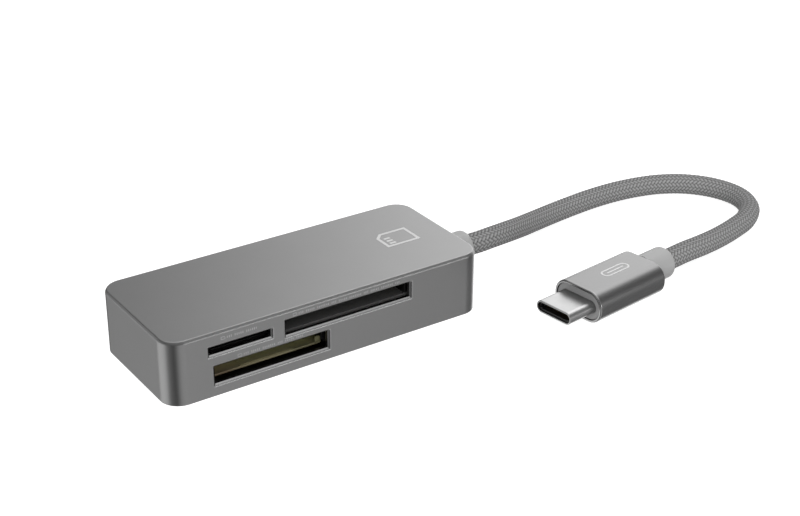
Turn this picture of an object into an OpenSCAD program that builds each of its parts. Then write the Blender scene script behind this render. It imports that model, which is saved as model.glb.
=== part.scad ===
// Three-slot memory card reader in a metal case, with a captive braided lead and a reversible plug.
// Millimetres. Origin: centre of the case's underside. +X towards the lead, the slots face -Y, +Z up.

/* [Case] */
// Length of the metal case along X
body_len = 62.8; // [62.6:0.1:66]
// Depth of the metal case, from the slot face to the back
body_dep = 25.8; // [25.6:0.1:28]
// Height of the metal case
body_high = 11.9; // [11.9:0.1:13]
// Radius of the four upright corners
corner_r = 3.6; // [3.4:0.1:3.8]
// Radius of the softened top edge
edge_r = 0.4; // [0.2:0.1:0.8]
// Thickness of the side walls
wall = 1.0; // [0.9:0.1:1]
// Thickness of the top wall
top_wall = 1.1; // [1:0.1:1.3]

/* [Card slots] */
// Width of the micro card slot
micro_w = 11.5; // [11.2:0.1:11.8]
// Height of the micro card slot
micro_h = 1.3; // [1.2:0.05:1.45]
// Width of the full size card slot
full_w = 25.0; // [24.6:0.1:25.4]
// Height of the full size card slot
full_h = 2.75; // [2.5:0.05:2.95]
// Width of the stick card slot
stick_w = 21.7; // [21.6:0.1:22]
// Height of the stick card slot
stick_h = 3.2; // [3:0.05:3.4]
// Chamfer round each slot's outer edge
slot_bevel = 0.4; // [0.2:0.05:0.5]

/* [Lead] */
// Outer diameter of the braided lead
lead_d = 4.1; // [3.9:0.1:4.1]
// Outer diameter of the grommet and of the plug's collar
grommet_d = 6.2; // [6.1:0.1:6.6]
// Length of the grommet outside the case
grommet_len = 6.0; // [4:0.5:6]

/* [Plug] */
// Width of the plug's metal sleeve
sleeve_w = 11.2; // [11:0.1:12]
// Height of the plug's metal sleeve
sleeve_h = 6.2; // [6:0.1:6.2]
// Length of the plug's metal sleeve
sleeve_len = 17.8; // [17.6:0.1:20]
// Length of the contact shell that stands out of the sleeve
mouth_len = 6.4; // [6.2:0.1:6.7]
// Length of the soft collar behind the sleeve
collar_len = 6.4; // [4:0.2:7]

/* [Hidden] */
$fn = 48;

// Colours of the finished pieces
case_grey = "dimgray";
collar_grey = "silver";
braid_grey = "gray";
nickel = "gainsboro";
steel = "lightslategray";
gold = "goldenrod";
black = "black";
laminate = "darkslategray";

// Clearances: pieces that only sit together, pieces that turn or slide, and how far a cut overshoots
seat_gap = 0.1;
run_gap = 0.05;
cut = 1;

// Case
half_len = body_len / 2;
half_dep = body_dep / 2;
front_y = -half_dep;
ceiling_z = body_high - top_wall;
cavity_r = corner_r - wall;
cavity_len = body_len - 2 * wall;
cavity_dep = body_dep - 2 * wall;
cover_t = 1.2;

// Circuit board, which the four long screws clamp between the case's bosses and the cover's posts
board_z = 5.95;
board_t = 0.8;
board_top = board_z + board_t;
screw_inset = 3.4;
screw_x = half_len - screw_inset;
screw_y = half_dep - screw_inset;
boss_r = 2.6;
post_r = 1.7;
screw_r = 0.8;
screw_bore_r = 0.82;
screw_clear_r = 0.95;
screw_head_r = 1.5;
screw_head_z = 0.1;
screw_head_top = 0.9;
screw_end_z = 9.2;
notch_x = 25.4;
notch_half = 4;

// Slots: centre along X and lower edge
micro_x = -17.95;
micro_z = 7.8;
full_x = 3.25;
full_z = 7.1;
stick_x = -12;
stick_z = 2.2;

// Full size card socket
full_card_half = 12.2;
full_left = -10.8;
full_right = 17.0;
full_front = front_y + 1.55;
full_stop = front_y + 19.4;
full_back = front_y + 22.2;
full_floor = board_top + 0.55;
full_top = 9.9;
full_pins = 9;
full_pitch = 2.5;
plate_t = 0.2;
flange_t = 0.15;

// Levers in the full size card socket
lever_r = 0.35;
lever_inset = 0.75;
lever_len = 6.5;
lever_low = full_floor + 0.5;
lever_high = full_top - 0.3;
detect_y = front_y + 17.2;
protect_y = front_y + 11.9;

// Micro card socket
micro_card_half = 5.52;
micro_left = -24.9;
micro_right = -11.3;
micro_front = front_y + 2.0;
micro_stop = front_y + 16.5;
micro_back = front_y + 18.1;
micro_floor = board_top + 1.05;
micro_top = 9.0;
micro_pins = 8;
micro_pitch = 1.1;
micro_first_pin = -22.6;

// Eject slider beside the micro card: its channel, travel, cam pocket, spring and cam pin
slider_x = -11.95;
slider_half = 0.45;
slider_front = front_y + 5.5;
slider_back = front_y + 12.7;
slider_low = micro_floor + 0.15;
slider_high = micro_top - 0.15;
slider_arm_x = -14.3;
slider_arm_t = 1.2;
channel_front = slider_front - 0.3;
channel_back = front_y + 17.7;
cam_half = 0.27;
cam_depth = 0.35;
pin_r = 0.1;
pin_pivot_y = front_y + 4.3;
pin_tip_y = front_y + 9.9;
pin_z = slider_high + 0.01;
spring_r = 0.36;
spring_wire_r = 0.06;
spring_turns = 9;

// Stick card socket, on the underside of the board
stick_card_half = 10.8;
stick_left = -24.5;
stick_right = 0.3;
stick_front = front_y + 2.3;
stick_stop = front_y + 19.4;
stick_back = front_y + 22.1;
stick_roof = board_z - 0.3;
tray_low = 2.2;
tray_t = 0.45;
tray_left = -23.3;
tray_right = -0.95;
tray_corner_r = 0.7;
stick_pins = 10;
stick_pitch = 1.9;

// Lead: it leaves the middle of the +X face, drops to the surface, turns back and meets the plug
lead_r = lead_d / 2;
lead_bore_r = lead_r + 0.01;
lead_z = 6.0;
grommet_r = grommet_d / 2;
grommet_hole_r = 2.95;
grommet_neck_r = 2.9;
grommet_flange_r = 3.7;
grommet_flange_t = 1.2;
grommet_edge_r = 0.9;
grommet_end_x = half_len + grommet_len;
lead_tail_x = 26.6;
clamp_r = 2.6;
clamp_len = 1.6;
core_r = 0.25;
core_pitch = 0.7;

// Plug: where the lead meets its collar, and the way it points along the surface
plug_end = [68.2, -21.4, 3.1];
plug_turn = 7.9;
plug_len = sleeve_len + collar_len;
sleeve_r = 2.9;
sleeve_wall = 0.5;
sleeve_edge_r = 0.3;
sleeve_back_t = 1.2;
sleeve_hole_r = 2.6;
collar_neck_r = 2.55;
insert_x = 0.2;
insert_t = 2.4;
shell_w = 8.25;
shell_h = 2.4;
shell_wall = 0.3;
shell_back = 5.0;
pocket_half_w = 4.3;
pocket_half_h = 1.6;
pocket_back = 14.0;
stub_x = 13.5;
tongue_half_w = 3.05;
tongue_half_h = 0.55;
tongue_back = -0.6;
plug_pins = 12;
plug_pitch = 0.5;
pin_low = 0.36;
pin_high = 0.48;
latch_y = 3.3;
latch_x = 2.0;
latch_tip_x = -4.6;
latch_r = 0.15;
latch_half_h = 0.3;

// The free stretch of the lead, from the grommet's end to the collar's end
LEAD_ROUTE = [
    [37.4, 0, 6], [40.4, 0, 6], [43.4, 0.4, 5.9], [48.8, 2, 5.1], [54, 4.3, 3.9],
    [59.2, 6.5, 2.9], [64.8, 8.2, 2.3], [70.6, 9.2, 2.1], [76.4, 9.7, 2.1], [82.2, 9.7, 2.1],
    [88, 9, 2.1], [93.5, 7.4, 2.1], [98.4, 4.3, 2.1], [101.8, -0.4, 2.1], [102.9, -6, 2.1],
    [100.9, -11.3, 2.1], [96.4, -14.9, 2.1], [91, -16.9, 2.2], [85.3, -18.5, 2.4],
    [79.7, -19.8, 2.8], [74.2, -20.6, 3.1], [71.2, -21, 3.1], [68.2, -21.4, 3.1]
];
lead_steps = 2;
lead_sides = 12;

// ---- Helpers ----

function unit(v) = v / norm(v);

// Points on an arc in the plane
function arc(cx, cy, r, a0, a1, n = 5) =
    [for (i = [0:n]) let (a = a0 + (a1 - a0) * i / n) [cx + r * cos(a), cy + r * sin(a)]];

// One half of an upright section, from the axis out to w, with its upper and lower edges rounded
function half_section(w, z0, z1, top_r, low_r) = concat(
    [[0, z0]],
    low_r > 0 ? arc(w - low_r, z0 + low_r, low_r, -90, 0) : [[w, z0]],
    top_r > 0 ? arc(w - top_r, z1 - top_r, top_r, 0, 90) : [[w, z1]],
    [[0, z1]]
);
function full_section(w, z0, z1, top_r, low_r) =
    let (h = half_section(w, z0, z1, top_r, low_r), n = len(h))
    concat(h, [for (i = [n - 2:-1:1]) [-h[i].x, h[i].y]]);

// A slab with four round upright corners, and rounded upper and lower edges
module slab(l, d, z0, z1, r, top_r = 0, low_r = 0) {
    rotate([90, 0, 90])
        linear_extrude(l - 2 * r, center = true) polygon(full_section(d / 2, z0, z1, top_r, low_r));
    rotate([90, 0, 0])
        linear_extrude(d - 2 * r, center = true) polygon(full_section(l / 2, z0, z1, top_r, low_r));
    for (sx = [-1, 1], sy = [-1, 1])
        translate([sx * (l / 2 - r), sy * (d / 2 - r), 0])
            rotate_extrude() polygon(half_section(r, z0, z1, top_r, low_r));
}

// The same slab laid along X, w wide and h high
module lying_slab(w, h, x0, x1, r, far_r = 0, near_r = 0) {
    rotate([0, 90, 0]) slab(h, w, x0, x1, r, far_r, near_r);
}

// A block between two corners
module block(low, high) {
    translate(low) cube(high - low);
}

// A round rod along X
module rod_x(x0, x1, r, y = 0, z = 0) {
    translate([x0, y, z]) rotate([0, 90, 0]) cylinder(h = x1 - x0, r = r);
}

// Outline of a strip of thickness t that follows a line of points
function strip_side(p, i) =
    let (
        n = len(p) - 1,
        a = unit(i == 0 ? p[1] - p[0] : p[i] - p[i - 1]),
        b = unit(i == n ? p[n] - p[n - 1] : p[i + 1] - p[i]),
        u = unit(a + b),
        m = [-u.y, u.x]
    )
    m / (m * [-a.y, a.x]);
function strip(p, t) = concat(
    [for (i = [0:len(p) - 1]) p[i] + strip_side(p, i) * t / 2],
    [for (i = [len(p) - 1:-1:0]) p[i] - strip_side(p, i) * t / 2]
);

// A bent spring contact: the line's points are [y, z], and the strip is w wide about x
module bent_contact(x, line, t, w) {
    translate([x, 0, 0]) rotate([90, 0, 90]) linear_extrude(w, center = true) polygon(strip(line, t));
}

// An opening through the front wall, with a chamfer round its outer edge
module slot_cut(x, z, w, h) {
    block([x - w / 2, front_y - cut, z], [x + w / 2, front_y + wall + cut, z + h]);
    translate([x, front_y, z + h / 2]) rotate([90, 0, 0])
        for (i = [0:3]) {
            grow = slot_bevel * (1 - i / 4);
            translate([0, 0, -slot_bevel * (i + 1) / 4])
                linear_extrude(slot_bevel + cut) square([w + 2 * grow, h + 2 * grow], center = true);
        }
}

module at_screws() {
    for (sx = [-1, 1], sy = [-1, 1]) translate([sx * screw_x, sy * screw_y, 0]) children();
}

// Puts a piece drawn in the plug's own frame where the plug lies: its front face at X = 0, the lead at +X
module at_plug() {
    translate(plug_end) rotate([0, 0, plug_turn]) translate([-plug_len, 0, 0]) children();
}

// ---- Case ----

module body_shell() color(case_grey) difference() {
    union() {
        difference() {
            slab(body_len, body_dep, 0, body_high, corner_r, edge_r);
            slab(cavity_len, cavity_dep, -cut, ceiling_z, cavity_r);
        }
        intersection() {
            slab(body_len, body_dep, 0, body_high, corner_r, edge_r);
            at_screws() translate([0, 0, board_top]) cylinder(h = ceiling_z - board_top + top_wall / 2, r = boss_r);
        }
    }
    slot_cut(micro_x, micro_z, micro_w, micro_h);
    slot_cut(full_x, full_z, full_w, full_h);
    slot_cut(stick_x, stick_z, stick_w, stick_h);
    rod_x(half_len - wall - cut, half_len + cut, grommet_hole_r, 0, lead_z);
    at_screws() translate([0, 0, board_top - cut]) cylinder(h = screw_end_z + 0.4 - board_top + cut, r = screw_bore_r);
}

module bottom_cover() color(case_grey) difference() {
    union() {
        slab(cavity_len - 2 * seat_gap, cavity_dep - 2 * seat_gap, 0, cover_t, cavity_r - seat_gap);
        at_screws() cylinder(h = board_z, r = post_r);
    }
    at_screws() {
        translate([0, 0, -cut]) cylinder(h = board_z + 2 * cut, r = screw_clear_r);
        translate([0, 0, -cut]) cylinder(h = screw_head_top + cut, r = screw_head_r + seat_gap);
    }
}

module cover_screws() color(steel) at_screws() difference() {
    union() {
        translate([0, 0, screw_head_z]) cylinder(h = screw_head_top - screw_head_z, r = screw_head_r);
        translate([0, 0, screw_head_top - 0.1]) cylinder(h = screw_end_z - screw_head_top + 0.1, r = screw_r);
    }
    for (turn = [0, 90]) rotate([0, 0, turn])
        translate([-0.8, -0.15, screw_head_z - cut]) cube([1.6, 0.3, cut + 0.45]);
}

// ---- Circuit board and what is soldered to it ----

module circuit_board() color(laminate) translate([0, 0, board_z]) linear_extrude(board_t) difference() {
    square([cavity_len - 0.6, cavity_dep - 0.6], center = true);
    for (sx = [-1, 1], sy = [-1, 1]) translate([sx * screw_x, sy * screw_y]) {
        circle(r = screw_clear_r);
        translate([sx * 2.1, sy * 2.1]) rotate(45) square([3, 3], center = true);
    }
    translate([notch_x, -notch_half]) square([10, 2 * notch_half]);
}

// A flat square chip under the board, with its pads along four sides
module controller_chip() {
    color(black) translate([11, -1, board_z - 0.85]) translate([-3.5, -3.5, 0]) cube([7, 7, 0.8]);
    color(nickel) for (turn = [0, 90, 180, 270]) translate([11, -1, board_z - 0.05]) rotate([0, 0, turn])
        for (i = [-5:5]) translate([i * 0.5 - 0.12, 3.1, 0]) cube([0.24, 0.6, 0.05]);
}

module clock_crystal() color(nickel) {
    block([16.6, 2.2, board_z - 0.7], [19.8, 4.7, board_z]);
}

module voltage_regulator() color(black) {
    block([17.0, -4.3, board_z - 1.1], [19.9, -2.7, board_z - 0.1]);
    for (i = [-1:1]) block([18.25 + i * 0.95, -5.1, board_z - 0.25], [18.65 + i * 0.95, -1.9, board_z]);
}

// Small capacitors and resistors: a row under the board and a row beside the lead's pads
module board_parts() color("tan") {
    for (i = [0:6]) block([3 + i * 2.8, 7.2, board_z - 0.5], [4.6 + i * 2.8, 8.0, board_z]);
    for (i = [0:4]) block([5 + i * 2.8, -8.4, board_z - 0.5], [6.0 + i * 2.8, -7.9, board_z]);
    for (i = [0:3]) block([19.4, -7.5 + i * 4.6, board_top], [20.4, -7.0 + i * 4.6, board_top + 0.5]);
}

// ---- Micro card socket ----

module micro_socket_base() color(black) difference() {
    block([micro_left, micro_front, board_top], [micro_right, micro_back, micro_top]);
    block([micro_x - micro_card_half, micro_front - cut, micro_floor],
          [micro_x + micro_card_half, micro_stop, micro_top + cut]);
    block([micro_x, channel_front, micro_floor],
          [slider_x + slider_half + run_gap, micro_stop, micro_top + cut]);
    block([slider_x - slider_half - run_gap, channel_front, micro_floor],
          [slider_x + slider_half + run_gap, channel_back, micro_top + cut]);
    block([slider_x - cam_half, pin_pivot_y - 0.4, pin_z - pin_r - 0.1],
          [slider_x + cam_half, channel_front + cut, micro_top + cut]);
    translate([slider_x, pin_pivot_y, micro_floor]) cylinder(h = 2, r = pin_r + run_gap);
    for (i = [0:micro_pins - 1])
        block([micro_first_pin + i * micro_pitch - 0.3, micro_stop - cut, micro_floor + 0.05],
              [micro_first_pin + i * micro_pitch + 0.3, micro_back + cut, micro_floor + 0.3]);
}

module micro_socket_cover() color(nickel) {
    difference() {
        block([micro_left - flange_t, micro_front, micro_top],
              [micro_right + flange_t, micro_back, micro_top + flange_t]);
        for (x = [-21.5, -16.5]) block([x, front_y + 8, micro_top - cut], [x + 2, front_y + 13, micro_top + cut]);
    }
    for (x = [micro_left - flange_t, micro_right])
        block([x, micro_front, board_top], [x + flange_t, micro_back, micro_top + flange_t]);
}

module micro_socket_contacts() color(gold) for (i = [0:micro_pins - 1])
    bent_contact(micro_first_pin + i * micro_pitch, [
        [front_y + 11.0, micro_floor + 0.25], [front_y + 11.8, micro_floor + 0.5],
        [micro_stop - 0.4, micro_floor + 0.18], [micro_back + 0.25, micro_floor + 0.18],
        [micro_back + 0.25, board_top + 0.07], [micro_back + 1.1, board_top + 0.07]
    ], 0.12, 0.5);

// Slides along +Y when the card pushes on its arm; the pocket on top is the cam that latches it
module micro_eject_slider() color("whitesmoke") difference() {
    union() {
        block([slider_x - slider_half, slider_front, slider_low],
              [slider_x + slider_half, slider_back, slider_high]);
        block([slider_arm_x, slider_back - slider_arm_t, slider_low],
              [slider_x + slider_half, slider_back, slider_high - 0.1]);
    }
    block([slider_x - cam_half, slider_front + 0.4, slider_high - cam_depth],
          [slider_x + cam_half, pin_tip_y + 0.3, slider_high + cut]);
    block([slider_x - cam_half, slider_front - cut, slider_high - 0.15],
          [slider_x + cam_half, slider_front + cut, slider_high + cut]);
}

// Compression spring between the slider and the back of its channel
function spring_point(a, len_y, side) =
    let (wire = spring_wire_r, r = spring_r - wire + wire * cos(side), y = len_y * a / (360 * spring_turns))
    [r * cos(a), y + wire * sin(side), r * sin(a)];
module micro_eject_spring() color(steel) {
    steps = spring_turns * 12;
    sides = 6;
    span = channel_back - slider_back - 2 * spring_wire_r - 0.04;
    points = [for (i = [0:steps], j = [0:sides - 1]) spring_point(i * 30, span, j * 360 / sides)];
    walls = [for (i = [0:steps - 1], j = [0:sides - 1])
        [i * sides + j, (i + 1) * sides + j, (i + 1) * sides + (j + 1) % sides, i * sides + (j + 1) % sides]];
    ends = [[for (j = [0:sides - 1]) j], [for (j = [sides - 1:-1:0]) steps * sides + j]];
    translate([slider_x, slider_back + spring_wire_r + 0.02, (micro_floor + micro_top) / 2])
        polyhedron(points, concat(walls, ends), convexity = 12);
}

// Wire that turns in the socket's front and tracks the slider's cam pocket
module micro_cam_pin() color(steel) {
    translate([slider_x, pin_pivot_y, micro_floor + 0.1]) cylinder(h = pin_z - micro_floor - 0.1, r = pin_r, $fn = 24);
    translate([slider_x, pin_tip_y, slider_high - cam_depth + 0.05])
        cylinder(h = pin_z - slider_high + cam_depth - 0.05, r = pin_r, $fn = 24);
    translate([slider_x, pin_pivot_y, pin_z]) rotate([-90, 0, 0]) cylinder(h = pin_tip_y - pin_pivot_y, r = pin_r, $fn = 24);
    for (y = [pin_pivot_y, pin_tip_y]) translate([slider_x, y, pin_z]) sphere(r = pin_r, $fn = 24);
}

// ---- Full size card socket ----

module lever_pocket(x, side, y) {
    inner = side < 0 ? full_x - full_card_half : full_x + full_card_half;
    outer = inner + side * 1.3;
    block([min(inner - side * cut, outer), y - lever_len - 1, full_floor + 0.3],
          [max(inner - side * cut, outer), y + 0.7, full_top + cut]);
    translate([x, y, full_floor - 0.1]) cylinder(h = 1, r = lever_r + run_gap);
}

module full_socket_base() color(black) difference() {
    block([full_left, full_front, board_top], [full_right, full_back, full_top]);
    block([full_x - full_card_half, full_front - cut, full_floor],
          [full_x + full_card_half, full_stop, full_top + cut]);
    lever_pocket(full_x - full_card_half - lever_inset, -1, detect_y);
    lever_pocket(full_x + full_card_half + lever_inset, 1, protect_y);
    for (i = [0:full_pins - 1]) let (x = full_x + (i - (full_pins - 1) / 2) * full_pitch)
        block([x - 0.5, full_stop - cut, full_floor + 0.05], [x + 0.5, full_back + cut, full_floor + 0.35]);
}

module full_socket_cover() color(nickel) {
    difference() {
        block([full_left - flange_t, full_front, full_top], [full_right + flange_t, full_back, full_top + plate_t]);
        for (x = [-7.5, 9.7]) block([x, front_y + 6, full_top - cut], [x + 3.5, front_y + 14, full_top + cut]);
    }
    for (x = [full_left - flange_t, full_right])
        block([x, full_front, board_top], [x + flange_t, full_back, full_top + plate_t]);
}

module full_socket_contacts() color(gold) for (i = [0:full_pins - 1])
    bent_contact(full_x + (i - (full_pins - 1) / 2) * full_pitch, [
        [front_y + 13.3, full_floor + 0.5], [front_y + 14.3, full_floor + 0.8],
        [full_stop - 0.4, full_floor + 0.2], [full_back + 0.25, full_floor + 0.2],
        [full_back + 0.25, board_top + 0.08], [full_back + 1.4, board_top + 0.08]
    ], 0.15, 0.9);

// A leaf that the card pushes aside; it turns on its upright barrel
module lever(x, y, side) {
    line = [[0, 0], [side * -0.1, -3.6], [side * -1.15, -5.3], [side * -0.5, -lever_len]];
    translate([x, y, 0]) {
        translate([0, 0, lever_low]) linear_extrude(lever_high - lever_low) polygon(strip(line, 0.2));
        translate([0, 0, full_floor]) cylinder(h = full_top - 0.1 - full_floor, r = lever_r);
    }
}
module card_detect_lever() color(gold) lever(full_x - full_card_half - lever_inset, detect_y, -1);
module write_protect_lever() color(gold) lever(full_x + full_card_half + lever_inset, protect_y, 1);

// ---- Stick card socket ----

module stick_socket_base() color(black) difference() {
    block([stick_left, stick_front, tray_low], [stick_right, stick_back, board_z]);
    block([stick_x - stick_card_half, stick_front - cut, tray_low - cut],
          [stick_x + stick_card_half, stick_stop, stick_roof]);
    block([tray_left - seat_gap, stick_front - cut, tray_low - cut],
          [tray_right + seat_gap, stick_back + cut, tray_low + tray_t + 0.05]);
    for (i = [0:stick_pins - 1]) let (x = stick_x + (i - (stick_pins - 1) / 2) * stick_pitch)
        block([x - 0.45, stick_stop - cut, stick_roof - 0.5], [x + 0.45, stick_back + cut, stick_roof - 0.2]);
}

// Metal tray that carries the card's lower face
module stick_socket_tray() color("darkkhaki") translate([0, 0, tray_low]) linear_extrude(tray_t) difference() {
    union() {
        translate([tray_left, stick_front + tray_corner_r])
            square([tray_right - tray_left, stick_back - stick_front - tray_corner_r]);
        translate([tray_left + tray_corner_r, stick_front])
            square([tray_right - tray_left - 2 * tray_corner_r, stick_back - stick_front]);
        for (x = [tray_left + tray_corner_r, tray_right - tray_corner_r])
            translate([x, stick_front + tray_corner_r]) circle(r = tray_corner_r);
    }
    for (x = [-18.5, -8.7]) translate([x, front_y + 9]) square([3, 7]);
}

module stick_socket_contacts() color(gold) for (i = [0:stick_pins - 1])
    bent_contact(stick_x + (i - (stick_pins - 1) / 2) * stick_pitch, [
        [front_y + 12.3, stick_roof - 0.9], [front_y + 13.3, stick_roof - 1.2],
        [stick_stop - 0.4, stick_roof - 0.35], [stick_back + 0.25, stick_roof - 0.35],
        [stick_back + 0.25, board_z - 0.08], [stick_back + 1.3, board_z - 0.08]
    ], 0.15, 0.8);

// ---- Lead, its grommet and what holds it ----

// A soft sleeve turned about X: it ends in a rounded edge where the lead comes out
module soft_sleeve(x0, x1, r, edge) {
    rotate([0, 90, 0]) rotate_extrude() difference() {
        polygon(concat([[0, x0], [r, x0]], arc(r - edge, x1 - edge, edge, 0, 90, 8), [[0, x1]]));
        translate([0, x0 - cut]) square([lead_bore_r, x1 - x0 + 2 * cut]);
    }
}

module body_grommet() color(collar_grey) translate([0, 0, lead_z]) {
    soft_sleeve(half_len, grommet_end_x, grommet_r, grommet_edge_r);
    difference() {
        union() {
            rod_x(half_len - wall, half_len, grommet_neck_r);
            rod_x(half_len - wall - grommet_flange_t, half_len - wall, grommet_flange_r);
        }
        rod_x(0, half_len + cut, lead_bore_r);
    }
}

module lead_clamp() color(steel) translate([0, 0, lead_z]) difference() {
    rod_x(half_len - wall - grommet_flange_t - clamp_len, half_len - wall - grommet_flange_t, clamp_r);
    rod_x(0, half_len, lead_bore_r);
}

module lead_end_body() color(braid_grey) rod_x(lead_tail_x, grommet_end_x, lead_r, 0, lead_z);

// Insulated cores from the lead's end onto the board
module core_wires() color("firebrick") for (i = [-2:2])
    rod_x(notch_x - 1.6, lead_tail_x, core_r, i * core_pitch, board_top + core_r + 0.01);

// A point on the smooth curve through the route, s counted in route points
function clamp_index(i, n) = max(0, min(n, i));
function lead_axis(i, p, n) =
    i < 0 ? 2 * p[0] - p[1] : i > n ? 2 * p[n] - p[n - 1] : p[i];
function lead_point(s, p) =
    let (
        n = len(p) - 1,
        k = clamp_index(floor(s), n - 1),
        t = s - k,
        a = lead_axis(k - 1, p, n), b = p[k], c = p[k + 1], d = lead_axis(k + 2, p, n)
    )
    0.5 * (2 * b + (c - a) * t + (2 * a - 5 * b + 4 * c - d) * t * t + (3 * b - a - 3 * c + d) * t * t * t);
function lead_way(s, p) =
    let (n = len(p) - 1)
    s <= 0 ? [1, 0, 0]
    : s >= n ? [-cos(plug_turn), -sin(plug_turn), 0]
    : unit(lead_point(s + 0.05, p) - lead_point(s - 0.05, p));

module lead() color(braid_grey) {
    rings = (len(LEAD_ROUTE) - 1) * lead_steps;
    sides = lead_sides;
    points = [for (i = [0:rings]) let (
        s = i / lead_steps,
        c = lead_point(s, LEAD_ROUTE),
        way = lead_way(s, LEAD_ROUTE),
        across = unit(cross(way, [0, 0, 1])),
        rise = cross(across, way)
    ) for (j = [0:sides - 1]) c + lead_r * (across * cos(j * 360 / sides) + rise * sin(j * 360 / sides))];
    walls = [for (i = [0:rings - 1], j = [0:sides - 1])
        [i * sides + j, i * sides + (j + 1) % sides, (i + 1) * sides + (j + 1) % sides, (i + 1) * sides + j]];
    ends = [[for (j = [sides - 1:-1:0]) j], [for (j = [0:sides - 1]) rings * sides + j]];
    polyhedron(points, concat(walls, ends), convexity = 8);
}

// ---- Plug ----

module plug_collar() color(collar_grey) at_plug() {
    soft_sleeve(sleeve_len, plug_len, grommet_r, grommet_edge_r);
    difference() {
        rod_x(sleeve_len - sleeve_back_t, sleeve_len, collar_neck_r);
        rod_x(0, plug_len, lead_bore_r);
    }
}

module lead_end_plug() color(braid_grey) at_plug() rod_x(stub_x, plug_len, lead_r);

// Inside of the metal sleeve, less the gap that its contents leave
module sleeve_inside(x0, x1, gap) {
    lying_slab(sleeve_w - 2 * sleeve_wall - gap, sleeve_h - 2 * sleeve_wall - gap, x0, x1, sleeve_r - sleeve_wall - gap / 2);
}

module plug_sleeve() color(case_grey) at_plug() difference() {
    lying_slab(sleeve_w, sleeve_h, 0, sleeve_len, sleeve_r, sleeve_edge_r, sleeve_edge_r);
    sleeve_inside(-cut, sleeve_len - sleeve_back_t, 0);
    rod_x(0, sleeve_len + cut, sleeve_hole_r);
}

module shell_outside(x0, x1, gap = 0, edge = 0) {
    lying_slab(shell_w + gap, shell_h + gap, x0, x1, (shell_h + gap) / 2 - 0.01, 0, edge);
}

module plug_front_insert() color(black) at_plug() difference() {
    sleeve_inside(insert_x, insert_x + insert_t, seat_gap);
    shell_outside(-cut, insert_x + insert_t + cut, 0.02);
}

module plug_inner_mould() color("whitesmoke") at_plug() difference() {
    sleeve_inside(insert_x + insert_t, sleeve_len - sleeve_back_t, seat_gap);
    block([insert_x, -pocket_half_w, -pocket_half_h], [pocket_back, pocket_half_w, pocket_half_h]);
    rod_x(pocket_back - cut, sleeve_len + cut, lead_bore_r);
}

module plug_shell() color(nickel) at_plug() difference() {
    shell_outside(-mouth_len, shell_back, 0, 0.12);
    lying_slab(shell_w - 2 * shell_wall, shell_h - 2 * shell_wall, -mouth_len - cut, shell_back + cut,
               shell_h / 2 - shell_wall - 0.01);
}

module plug_insulator() color(black) at_plug() difference() {
    lying_slab(shell_w - 2 * shell_wall - 0.1, shell_h - 2 * shell_wall - 0.1, -mouth_len + 0.4, shell_back,
               shell_h / 2 - shell_wall - 0.06);
    block([-mouth_len, -tongue_half_w, -tongue_half_h], [tongue_back, tongue_half_w, tongue_half_h]);
    for (side = [-1, 1]) {
        z0 = side > 0 ? pin_low - 0.02 : -pin_high - 0.02;
        block([-mouth_len, -tongue_half_w, z0], [shell_back + cut, tongue_half_w, z0 + pin_high - pin_low + 0.04]);
        y0 = side > 0 ? tongue_half_w - cut : -shell_w / 2;
        block([-mouth_len, y0, -latch_half_h - 0.1],
              [latch_x, y0 + shell_w / 2 - tongue_half_w + cut, latch_half_h + 0.1]);
        translate([latch_x, side * latch_y, -0.6]) cylinder(h = 1.2, r = latch_r + run_gap);
    }
}

module plug_contacts() color(gold) at_plug() for (row = [-1, 1], i = [0:plug_pins - 1]) {
    y = (i - (plug_pins - 1) / 2) * plug_pitch;
    z0 = row > 0 ? pin_low : -pin_high;
    block([-mouth_len + 1.4, y - 0.13, z0], [shell_back + 1.4, y + 0.13, z0 + pin_high - pin_low]);
}

// Side latch that springs outward as the plug goes home; it turns on its upright barrel
module latch(side) at_plug() {
    line = [[latch_x, side * latch_y], [-3.6, side * latch_y], [latch_tip_x, side * 2.95], [-5.2, side * latch_y]];
    translate([0, 0, -latch_half_h]) linear_extrude(2 * latch_half_h) polygon(strip(line, 0.15));
    translate([latch_x, side * latch_y, -0.55]) cylinder(h = 1.1, r = latch_r);
}
module plug_latch_left() color(steel) latch(1);
module plug_latch_right() color(steel) latch(-1);

module plug_board() color(laminate) at_plug() block([shell_back + 0.2, -4, -0.35], [stub_x - 0.7, 4, 0.35]);

module plug_wires() color("firebrick") at_plug() for (i = [0:5])
    rod_x(stub_x - 1.6, stub_x, 0.2, (i - 2.5) * 0.6, 0.56);

body_shell();
bottom_cover();
cover_screws();
circuit_board();
controller_chip();
clock_crystal();
voltage_regulator();
board_parts();
micro_socket_base();
micro_socket_cover();
micro_socket_contacts();
micro_eject_slider();
micro_eject_spring();
micro_cam_pin();
full_socket_base();
full_socket_cover();
full_socket_contacts();
card_detect_lever();
write_protect_lever();
stick_socket_base();
stick_socket_tray();
stick_socket_contacts();
body_grommet();
lead_clamp();
lead_end_body();
core_wires();
lead();
plug_collar();
lead_end_plug();
plug_sleeve();
plug_front_insert();
plug_inner_mould();
plug_shell();
plug_insulator();
plug_contacts();
plug_latch_left();
plug_latch_right();
plug_board();
plug_wires();
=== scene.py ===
"""Looks of a three-slot memory card reader with a captive braided lead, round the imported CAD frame.

Lengths in this script are millimetres in the CAD's frame, and become metres where a mesh is made.
"""

import math

import bmesh
import bpy
import numpy as np
from mathutils import Matrix, Vector


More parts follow.
